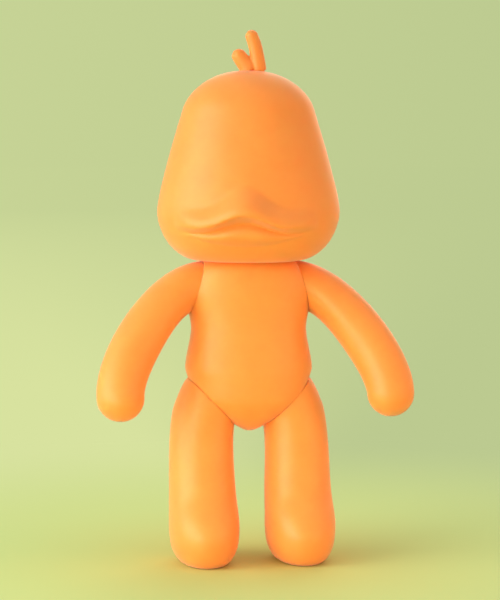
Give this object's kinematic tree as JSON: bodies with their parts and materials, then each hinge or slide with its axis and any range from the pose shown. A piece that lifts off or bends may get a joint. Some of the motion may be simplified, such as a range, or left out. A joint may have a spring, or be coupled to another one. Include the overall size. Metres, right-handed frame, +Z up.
{
  "type": "jointed vinyl duck figure",
  "caption": "Blank soft-vinyl duck figure, with a bell-shaped head, low bill and small crest, and a head, arms and legs that swivel.",
  "frame": {"origin": "middle of the outer box, on the floor between the feet", "axes": "+Z up, -Y the way the figure faces, +X its left"},
  "size_m": [0.1518, 0.0876, 0.2547],
  "materials": {
    "orange_vinyl": "satin rotocast soft vinyl",
    "joint_plastic": "moulded",
    "friction_rubber": "matt"
  },
  "bodies": {
    "torso": {"torso_shell": "orange_vinyl", "neck_bush": "joint_plastic", "right_shoulder_bush": "joint_plastic", "right_hip_bush": "joint_plastic", "left_shoulder_bush": "joint_plastic", "left_hip_bush": "joint_plastic"},
    "head": {"head_shell": "orange_vinyl", "crest": "orange_vinyl", "neck_plug": "joint_plastic", "neck_friction_ring": "friction_rubber"},
    "right_arm": {"right_arm_shell": "orange_vinyl", "right_shoulder_plug": "joint_plastic", "right_shoulder_friction_ring": "friction_rubber"},
    "right_leg": {"right_leg_shell": "orange_vinyl", "right_hip_plug": "joint_plastic", "right_hip_friction_ring": "friction_rubber"},
    "left_arm": {"left_arm_shell": "orange_vinyl", "left_shoulder_plug": "joint_plastic", "left_shoulder_friction_ring": "friction_rubber"},
    "left_leg": {"left_leg_shell": "orange_vinyl", "left_hip_plug": "joint_plastic", "left_hip_friction_ring": "friction_rubber"}
  },
  "joints": [
    {"name": "head_swivel", "type": "hinge", "parent": "torso", "child": "head", "pos_m": [0, 0.00335, 0.14414], "axis": [0, 0, 1], "continuous": true},
    {"name": "right_shoulder_swivel", "type": "hinge", "parent": "torso", "child": "right_arm", "pos_m": [-0.0255, 0.00335, 0.1318], "axis": [-0.9636, 0, 0.2672], "range_deg": [-100, 55]},
    {"name": "right_hip_swivel", "type": "hinge", "parent": "torso", "child": "right_leg", "pos_m": [-0.0183, 0.00335, 0.0765], "axis": [-0.7193, 0, -0.6947], "range_deg": [-90, 90]},
    {"name": "left_shoulder_swivel", "type": "hinge", "parent": "torso", "child": "left_arm", "pos_m": [0.0255, 0.00335, 0.1318], "axis": [-0.9636, 0, -0.2672], "range_deg": [-100, 55]},
    {"name": "left_hip_swivel", "type": "hinge", "parent": "torso", "child": "left_leg", "pos_m": [0.0183, 0.00335, 0.0765], "axis": [-0.7193, 0, 0.6947], "range_deg": [-90, 90]}
  ]
}
